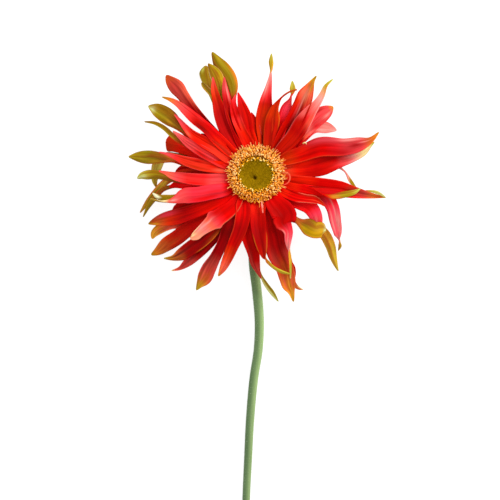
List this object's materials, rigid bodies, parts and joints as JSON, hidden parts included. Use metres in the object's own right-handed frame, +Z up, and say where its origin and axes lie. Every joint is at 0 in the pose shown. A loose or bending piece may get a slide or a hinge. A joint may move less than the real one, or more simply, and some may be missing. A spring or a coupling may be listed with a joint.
{
  "type": "gerbera daisy, a cut flower",
  "caption": "Cut spider gerbera lying on its back: red strap petals with olive undersides, frilled peach centre, olive eye and a long bare green stem.",
  "frame": {"origin": "on the surface the flower lies on, under the middle of its box", "axes": "+Z up, the way the flower head faces; +Y along the flower, from the cut end of the stem to the head; +X to the right, seen from above with the head away from the viewer"},
  "size_m": [0.1298, 0.2834, 0.0333],
  "materials": {
    "stem_green": "smooth living stem with fine hairs, soft sheen",
    "bract_green": "matt green bracts with a felt of fine hairs",
    "petal_red": "satin petal, bright red above turning pink and orange, olive green below and at the tips",
    "frill_peach": "soft satin, peach to orange",
    "pollen_yellow": "powdery yellow anthers",
    "bud_olive": "matt olive green buds"
  },
  "bodies": {
    "root": {"stem": "stem_green", "involucre": "bract_green", "ray_petals": "petal_red", "trans_florets": "frill_peach", "open_disc_florets": "pollen_yellow", "disc_buds": "bud_olive"}
  },
  "joints": []
}
